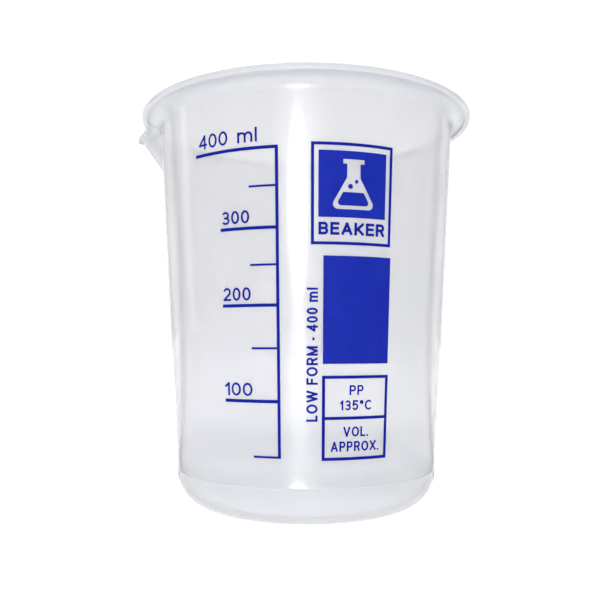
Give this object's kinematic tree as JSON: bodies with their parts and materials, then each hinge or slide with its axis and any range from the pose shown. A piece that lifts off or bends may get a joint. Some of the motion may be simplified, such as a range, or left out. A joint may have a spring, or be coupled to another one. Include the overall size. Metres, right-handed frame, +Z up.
{
  "type": "beaker",
  "caption": "Low-form laboratory beaker in translucent plastic, with a flared rim, a V-shaped pouring spout, a rounded foot and a printed blue scale and label.",
  "frame": {"origin": "centre of the base, on the surface that the beaker stands on", "axes": "+Z up along the vessel's axis; -X towards the pouring spout; -Y is the printed front"},
  "size_m": [0.1011, 0.095, 0.11],
  "materials": {
    "polypropylene": "satin, translucent natural polypropylene",
    "blue_ink": "screen-printed ink"
  },
  "bodies": {
    "root": {"vessel": "polypropylene", "scale_spine": "blue_ink", "line_050": "blue_ink", "line_100": "blue_ink", "line_150": "blue_ink", "line_200": "blue_ink", "line_250": "blue_ink", "line_300": "blue_ink", "line_350": "blue_ink", "line_400": "blue_ink", "numeral_100": "blue_ink", "numeral_200": "blue_ink", "numeral_300": "blue_ink", "numeral_400": "blue_ink", "unit_ml": "blue_ink", "label_frame": "blue_ink", "label_flask_tile": "blue_ink", "label_word": "blue_ink", "solid_panel": "blue_ink", "side_text": "blue_ink", "data_frame": "blue_ink", "data_material": "blue_ink", "data_temperature": "blue_ink", "data_volume": "blue_ink", "data_approximate": "blue_ink"}
  },
  "joints": []
}
